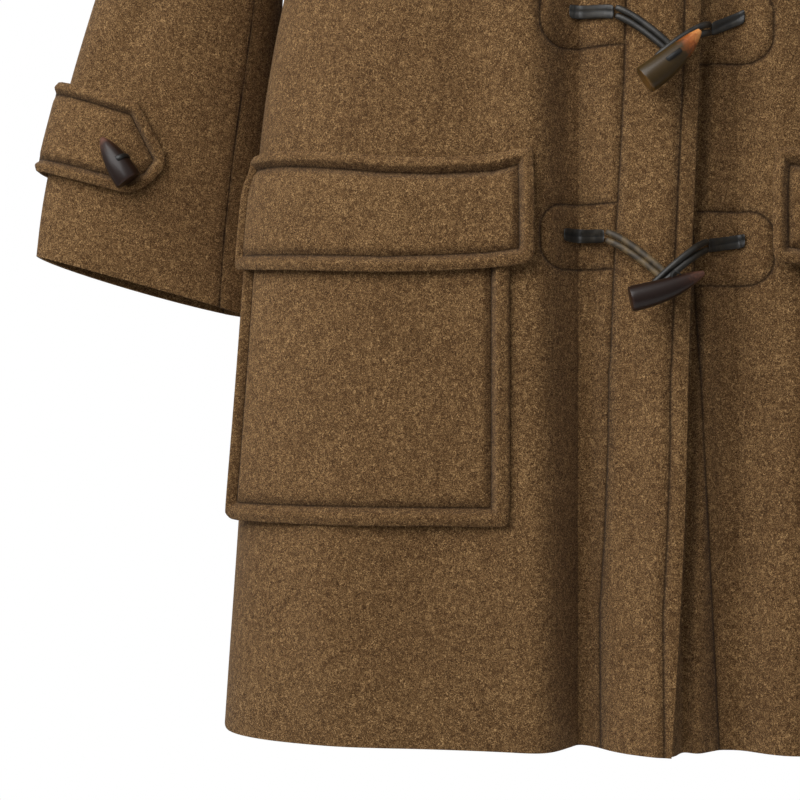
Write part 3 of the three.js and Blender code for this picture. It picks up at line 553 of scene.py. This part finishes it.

# %% [markdown]
# ## Listed creases
# Thick wool hangs in a few broad folds, which the solids already have. Between
# them lie soft troughs, uneven in length, depth and spacing. Each row below is
# one of them: where it crosses its middle height, its lean, half width, length
# and depth. They are listed one by one, because noise would crease the cloth evenly.
# Both faces of the cloth move together, so that the wall stays whole.

# %% Crease tables and the push that they give
FRONT_CREASES = [
    # x, z, lean, width, length, depth
    (-0.190, -0.330, 0.30, 0.022, 0.110, -0.0045),
    (-0.120, -0.440, -0.12, 0.016, 0.090, -0.0040),
    (-0.150, -0.800, 0.05, 0.030, 0.080, -0.0035),
    (-0.215, -0.820, -0.06, 0.018, 0.075, 0.0035),
    (0.140, -0.390, -0.22, 0.020, 0.100, -0.0045),
    (0.205, -0.300, -0.30, 0.018, 0.090, -0.0035),
    (0.160, -0.810, -0.05, 0.026, 0.070, -0.0035),
    (-0.020, -0.160, 0.10, 0.014, 0.060, -0.0020),
    (-0.037, -0.690, 0.03, 0.013, 0.170, -0.0105),
    (-0.046, -0.740, 0.00, 0.008, 0.240, 0.0045),
    (-0.052, -0.480, -0.06, 0.014, 0.080, -0.0035),
    (-0.012, -0.730, 0.05, 0.025, 0.130, -0.0080),
    (-0.019, -0.690, 0.03, 0.012, 0.160, -0.0045),
    (0.074, -0.720, 0.03, 0.014, 0.150, -0.0050),
]
BACK_CREASES = [
    (-0.120, -0.260, 0.25, 0.022, 0.110, 0.0080),
    (0.090, -0.330, -0.20, 0.020, 0.120, 0.0070),
    (0.010, -0.560, 0.04, 0.028, 0.150, -0.0070),
    (-0.190, -0.640, 0.08, 0.022, 0.150, 0.0070),
    (0.185, -0.700, -0.06, 0.024, 0.130, 0.0080),
    (-0.070, -0.780, 0.05, 0.020, 0.100, 0.0055),
    (0.060, -0.160, -0.30, 0.016, 0.070, 0.0040),
]
SLEEVE_CREASES = [
    (0.318, -0.330, 0.55, 0.020, 0.060, -0.0050),
    (0.350, -0.400, -0.60, 0.018, 0.050, -0.0045),
    (0.300, -0.262, 0.35, 0.016, 0.050, -0.0035),
    (0.375, -0.520, 0.20, 0.020, 0.050, -0.0025),
]


def crease_push(points, creases):
    push = np.zeros(len(points))
    for x, z, lean, width, length, depth in creases:
        along = points[:, 2] - z
        push += depth * bell(points[:, 0] - x - lean * along, width) * bell(along, length)
    return push


print("creases:", len(FRONT_CREASES) + len(BACK_CREASES) + len(SLEEVE_CREASES))

# %% [markdown]
# ## Stitch lines of the fronts
# The right front has a seam close to its free edge and another where the facing
# ends. Each leather tab sits in a D-shaped patch of quilting stitches, whose
# straight side is the facing seam. The lines are kept as signed distances, so
# they stay sharp between the mesh's points.

# %% Stitch lines of the fronts
EDGE_SEAM = 10.5 * MM
FACING_SEAM = 48 * MM
EDGE_STEP = 30 * MM
PAST_MIDDLE = 14 * MM
LEFT_SEAM = {"x": 0.0426, "z": -0.872, "lean": -0.053}
rows = {}
for x, y, z in points_of(NODES["front_right"]):
    row = round(z / EDGE_STEP)
    if x > PAST_MIDDLE and x > rows.get(row, (0, 0))[0]:
        rows[row] = (x, z)
edge_points = sorted((z, x) for x, z in rows.values())
EDGE_Z = [z for z, x in edge_points]
EDGE_X = [x for z, x in edge_points]


def edge_x(z):
    """Where the free edge of the right front lies at a height."""
    return np.interp(z, EDGE_Z, EDGE_X)


def right_seams(points):
    inset = edge_x(points[:, 2]) - points[:, 0]
    return np.minimum(inset - EDGE_SEAM, FACING_SEAM - inset)


def left_seam(points):
    return points[:, 0] - LEFT_SEAM["x"] - LEFT_SEAM["lean"] * (points[:, 2] - LEFT_SEAM["z"])


def closer(signed, size):
    """A signed distance that another line's distance shortens, with its sign kept."""
    return np.sign(signed) * np.minimum(np.abs(signed), size)


def patch_height(z, patch):
    """Height above the middle of the nearest quilted patch."""
    return (z - patch["z"] + PATCH_STEP / 2) % PATCH_STEP - PATCH_STEP / 2


def patch_distance(points, patch):
    """Signed distance to the D-shaped outlines on one front."""
    high = np.abs(patch_height(points[:, 2], patch)) - patch["half"] + PATCH_ROUND
    wide = (points[:, 0] - patch["far"]) * patch["side"] + PATCH_ROUND
    outside = np.hypot(np.maximum(high, 0), np.maximum(wide, 0))
    return outside + np.minimum(np.maximum(high, wide), 0) - PATCH_ROUND


print("front edge from", round(EDGE_X[0] / MM), "to", round(EDGE_X[-1] / MM), "mm")

# %% [markdown]
# ## The fronts
# The quilted patches are a little raised, and the seams lie in soft troughs.
# Under the free edge of the right front, the left one lies deeper, except where
# a fastening holds both together.

# %% The fronts
FORWARD = np.array([0, -1, 0])
CLOTH_LEVELS, FIRM_CREASE, CLOTH_BEVEL = 3, 1.0, 1.1 * MM
LOWEST_PATCH = -0.62
LEFT_BAND = 30 * MM
PATCH_RAISE, PATCH_SLOPE = 0.7 * MM, 5 * MM
SEAM_DEPTH, SEAM_WIDTH = 0.9 * MM, 3.6 * MM
RECESS, RECESS_INSET, RECESS_WIDTH = 13 * MM, 4.5 * MM, 6.5 * MM
HELD_SHARE, HELD_HEIGHT = 0.8, 20 * MM
SIDE_MIDDLE, SIDE_FADE = 20 * MM, 40 * MM


def front_piece(side, seams):
    node = f"front_{side}"
    patch = PATCHES[side]
    piece = soften(node, CLOTH_LEVELS, FIRM_CREASE, CLOTH_BEVEL)
    points = points_of(piece)
    x, y, z = points.T
    lines = closer(seams(points), distance_to(piece, seam_trees[node]))
    straight = edge_x(z) - FACING_SEAM if side == "right" else LEFT_BAND
    shown = ((x - straight) * patch["side"] > 0) & (z > LOWEST_PATCH)
    patches = np.where(shown, patch_distance(points, patch), 1.0)
    raised = PATCH_RAISE * np.clip(-patches / PATCH_SLOPE, 0, 1)
    sunk = SEAM_DEPTH * bell(closer(lines, np.abs(patches)), SEAM_WIDTH)
    push = crease_push(points, FRONT_CREASES) + raised - sunk
    if side == "left":
        free = 1 - HELD_SHARE * bell(patch_height(z, patch), HELD_HEIGHT) * (z > LOWEST_PATCH)
        push -= RECESS * free * bell(x - edge_x(z) - RECESS_INSET, RECESS_WIDTH)
    front_part = np.clip((SIDE_MIDDLE - y) / SIDE_FADE, 0, 1)
    press(piece, push * front_part, FORWARD)
    set_attribute(piece, "stitch", lines)
    set_attribute(piece, "quilted", shown)
    dress(piece, node, QUILTED[side])
    return piece


front_right = front_piece("right", right_seams)
front_left = front_piece("left", left_seam)
print("front points:", len(front_right.data.vertices), len(front_left.data.vertices))

# %% [markdown]
# ## Back, sleeves and hood
# These have no topstitching that shows. They get creases of their own: the
# sleeves crumple softly at the elbow, and the hood sags at its sides.

# %% Back, sleeves and hood
BACKWARD = np.array([0, 1, 0])
SIDEWAYS = np.array([1, 0, 0])
ARM_TOP, ARM_BEND = -0.2, 0.25
ARM_MIDDLE, ARM_FORWARD, ARM_HALF = 20 * MM, 40 * MM, 30 * MM
HOOD_SAG, SAG_SIZE = -4 * MM, 50 * MM
SAG_Y, SAG_Z = 30 * MM, 100 * MM


def plain_piece(node, push):
    piece = soften(node, CLOTH_LEVELS, FIRM_CREASE, CLOTH_BEVEL)
    set_attribute(piece, "stitch", distance_to(piece, seam_trees[node]))
    push(piece, points_of(piece))
    dress(piece, node, WOOL)


def back_push(piece, points):
    back_part = np.clip((points[:, 1] - SIDE_MIDDLE) / SIDE_FADE, 0, 1)
    press(piece, crease_push(points, BACK_CREASES) * back_part, BACKWARD)


def sleeve_push(piece, points):
    """The creases face outward on both sides of the bent arm."""
    mirrored = points.copy()
    mirrored[:, 0] = np.abs(mirrored[:, 0])
    bend = np.clip((ARM_TOP - points[:, 2]) / ARM_BEND, 0, 1)
    depth = np.clip((points[:, 1] - ARM_MIDDLE - ARM_FORWARD * bend) / ARM_HALF, -1, 1)
    press(piece, crease_push(mirrored, SLEEVE_CREASES) * depth, BACKWARD)


def hood_push(piece, points):
    sag = HOOD_SAG * bell(points[:, 2] - SAG_Z, SAG_SIZE) * bell(points[:, 1] - SAG_Y, SAG_SIZE)
    press(piece, sag * np.sign(points[:, 0]), SIDEWAYS)


plain_piece("back", back_push)
for side in ("right", "left"):
    plain_piece(f"sleeve_{side}_top", sleeve_push)
    plain_piece(f"sleeve_{side}_under", sleeve_push)
    plain_piece(f"hood_{side}", hood_push)
print("pieces sewn into the body:", len(SEWN))

# %% [markdown]
# ## Pockets, flaps and sleeve tabs
# These are sewn double, turned out, and stitched close to the edge. The edge
# therefore swells like a cord, with a sunk line of stitches inside it. A bevel
# would only round the edge, so the points swell by their distance from the rim.

# %% Pockets, flaps and sleeve tabs
LAID_LEVELS, SOFT_CREASE = 4, 0.35
CORD_MIDDLE, CORD_WIDTH = 0.5, 0.42
STITCH_SINK, STITCH_WIDTH = 1.1, 2.8 * MM
FACING_OUT = 3
LAID = [
    # name, width, height, seam from the edge, swell
    ("pocket", 0.205, 0.22, 11 * MM, 3.0 * MM),
    ("flap", 0.226, 0.081, 9.5 * MM, 2.6 * MM),
    ("cuff_tab", 0.2, 0.058, 8.5 * MM, 2.4 * MM),
]


def laid_piece(node, seam, swell):
    piece = soften(node, LAID_LEVELS, SOFT_CREASE)
    inset = distance_to(piece, tree_of(rim_of(node)))
    points, normals = points_of(piece), normals_of(piece)
    set_attribute(piece, "stitch", inset - seam)
    cord = swell * bell(inset - CORD_MIDDLE * seam, CORD_WIDTH * seam)
    sunk = STITCH_SINK * swell * bell(inset - seam, STITCH_WIDTH)
    outside = np.clip(-normals[:, 1] * FACING_OUT, 0, 1)
    set_points(piece, points + normals * ((cord - sunk) * outside)[:, None])
    dress(piece, node, WOOL)


for side in ("right", "left"):
    for name, wide, high, seam, swell in LAID:
        laid_piece(f"{name}_{side}", seam, swell)
print("pockets, flaps and sleeve tabs:", 2 * len(LAID))

# %% [markdown]
# ## Leather tabs and thongs
# A tab is two thong widths side by side, pressed flat and sewn down with a dark
# thread along its middle and in two rows across each end. Each tab's long
# direction is found from its points, so that one function sews all eight. A
# thong is a doubled strip that swells a little between its bends. The lowest
# right one is worn to a pale olive.

# %% Leather tabs and thongs
THONG_LEVELS, THONG_SWELL = 2, 0.6 * MM
ROWS_INSET, ROW_HALF_GAP = 2.9 * MM, 0.8 * MM
MIDDLE_SINK, MIDDLE_WIDTH = 0.9 * MM, 0.8 * MM
ROW_SINK, ROW_WIDTH = 0.4 * MM, 0.7 * MM
NO_STITCH = 1.0


def main_axis(points):
    """Middle and long direction of a piece, the direction with its z upward."""
    middle = points.mean(axis=0)
    axis = np.linalg.svd(points - middle, full_matrices=False)[2][0]
    return middle, axis if axis[2] > 0 else -axis


def leather_tab(node):
    piece = soften(node, 3, SOFT_CREASE)
    points = points_of(piece)
    middle, axis = main_axis(points)
    along = (points - middle) @ axis
    across = np.cross(axis, FORWARD)
    side = (points - middle) @ (across / np.linalg.norm(across))
    face = np.clip(-normals_of(piece)[:, 1] * 2, 0, 1)
    rows = np.abs(np.abs(np.abs(along) - (along.max() - ROWS_INSET)) - ROW_HALF_GAP)
    sunk = MIDDLE_SINK * bell(side, MIDDLE_WIDTH) + ROW_SINK * bell(rows, ROW_WIDTH)
    press(piece, -sunk * face, FORWARD)
    set_attribute(piece, "stitch", closer(side, rows))
    dress(piece, node, TAB_LEATHER)


def thong(node, material):
    piece = soften(node, THONG_LEVELS, 0.0)
    set_points(piece, points_of(piece) + normals_of(piece) * THONG_SWELL)
    set_attribute(piece, "stitch", np.full(len(piece.data.vertices), NO_STITCH))
    dress(piece, node, material)


for number in range(1, 5):
    for side in ("right", "left"):
        leather_tab(f"tab_{side}_{number}")
        worn = number == 4 and side == "right"
        thong(f"loop_{side}_{number}", THONG_LEATHER if worn else TAB_LEATHER)
print("tabs and thongs: 16")

# %% [markdown]
# ## Straps over the toggles
# The toggles are turned from horn and cut flat at their thick end. A thong goes
# through two holes in each. A boolean could cut the holes, but only the leather
# in them shows, so a short flat strap lies over the horn and its ends go into
# it. The strap is a row of flat rings. A ray that looks back at the toggle sets
# each ring a little above its surface, and each ring is bridged to the next.

# %% Straps over the toggles
STRAP_HALF = 0.8 * MM
LOOK_FROM = 50 * MM
OVER_FACE = [
    # share along, turn, lift
    (0.36, -4, -2 * MM),
    (0.40, -4, 0.4 * MM),
    (0.5, 0, 1.6 * MM),
    (0.6, 4, 0.8 * MM),
    (0.64, 4, -2 * MM),
]
UNDER_EDGE = [
    # share along, turn, lift
    (0.58, -70, -2 * MM),
    (0.60, -74, 1.6 * MM),
    (0.65, -80, 3 * MM),
    (0.70, -74, 1.6 * MM),
    (0.72, -70, -2 * MM),
]
ROUND_SIDE = [(0.42, 0, -2 * MM)] + [(0.42, turn, 0.5 * MM) for turn in (12, 35, 60, 85, 110)]


def strap_places(piece, route):
    """Points over a toggle's surface, each with its direction away from the toggle."""
    points = points_of(piece)
    middle, axis = main_axis(points)
    along = (points - middle) @ axis
    front = FORWARD - axis * (FORWARD @ axis)
    front = front / np.linalg.norm(front)
    up = np.cross(axis, front)
    body = bmesh.new()
    body.from_mesh(piece.data)
    surface = BVHTree.FromBMesh(body)
    body.free()
    places = []
    for share, turn, lift in route:
        start = middle + axis * (along.min() + share * np.ptp(along))
        out = front * math.cos(math.radians(turn)) + up * math.sin(math.radians(turn))
        hit = surface.ray_cast(Vector(start + out * LOOK_FROM), Vector(-out), LOOK_FROM)[0]
        places.append((np.array(hit) + out * lift, out))
    return places


def strap_over(piece, route, half_width, material):
    places = strap_places(piece, route)
    strap = bmesh.new()
    strap.from_mesh(piece.data)
    rings = []
    for i, (place, out) in enumerate(places):
        ahead = places[min(i + 1, len(places) - 1)][0] - places[max(i - 1, 0)][0]
        across = np.cross(ahead, out)
        across = across / np.linalg.norm(across)
        sides = (Vector(across * half_width), Vector(out * STRAP_HALF), Vector(ahead))
        turned = Matrix.Translation(place) @ Matrix(sides).transposed().to_4x4()
        ring = bmesh.ops.create_circle(strap, segments=8, radius=1.0, matrix=turned)["verts"]
        rings.append(list({edge for vert in ring for edge in vert.link_edges}))
    faces = []
    for ring, following in zip(rings, rings[1:]):
        faces += bmesh.ops.bridge_loops(strap, edges=ring + following)["faces"]
    for end in (rings[0], rings[-1]):
        faces += bmesh.ops.edgeloop_fill(strap, edges=end)["faces"]
    for face in faces:
        face.material_index = 1
    bmesh.ops.recalc_face_normals(strap, faces=faces)
    strap.to_mesh(piece.data)
    strap.free()
    piece.data.materials.append(material)
    piece.data.polygons.foreach_set("use_smooth", [True] * len(piece.data.polygons))


print("places along a strap:", len(OVER_FACE))

# %% [markdown]
# ## Toggles of horn
# Each toggle keeps its distance from the thick end as a number from 0 to 1, and
# the horn's colour follows it. Its end is creased, so that it stays cut flat.

# %% Toggles
HORN_CREASE = 0.8
LOOP_HALF, CUFF_LOOP_HALF = 1.5 * MM, 2 * MM


def toggle(node, material, route, half_width, strap_material):
    piece = soften(node, THONG_LEVELS, HORN_CREASE)
    dress(piece, node, material)
    points = points_of(piece)
    middle, axis = main_axis(points)
    along = (points - middle) @ axis
    set_attribute(piece, "along", (along - along.min()) / np.ptp(along))
    strap_over(piece, route, half_width, strap_material)


for number in range(1, 5):
    amber = number in (1, 3)
    horn, route = (AMBER_HORN, OVER_FACE) if amber else (DARK_HORN, UNDER_EDGE)
    toggle(f"toggle_{number}", horn, route, LOOP_HALF, THONG_LEATHER)
for side in ("right", "left"):
    toggle(f"cuff_toggle_{side}", DARK_HORN, ROUND_SIDE, CUFF_LOOP_HALF, TAB_LEATHER)
print("toggles: 6")

# %% [markdown]
# ## Floor
# The coat hangs clear of a pale floor, which the photograph's frame doesn't reach.

# %% Floor
FLOOR_DROP = 0.6
disc = bmesh.new()
bmesh.ops.create_circle(disc, cap_ends=True, segments=96, radius=1.2)
bmesh.ops.translate(disc, verts=disc.verts, vec=(0, 0, cad_box[0][2] - FLOOR_DROP))
floor_mesh = bpy.data.meshes.new("floor")
disc.to_mesh(floor_mesh)
disc.free()
floor = bpy.data.objects.new("floor", floor_mesh)
bpy.context.collection.objects.link(floor)
pale, pale_shader = new_material("pale studio floor", Base_Color=linear("#e6e6e4"), Roughness=0.8)
floor_mesh.materials.append(pale)
print("floor", FLOOR_DROP, "m below the hem")
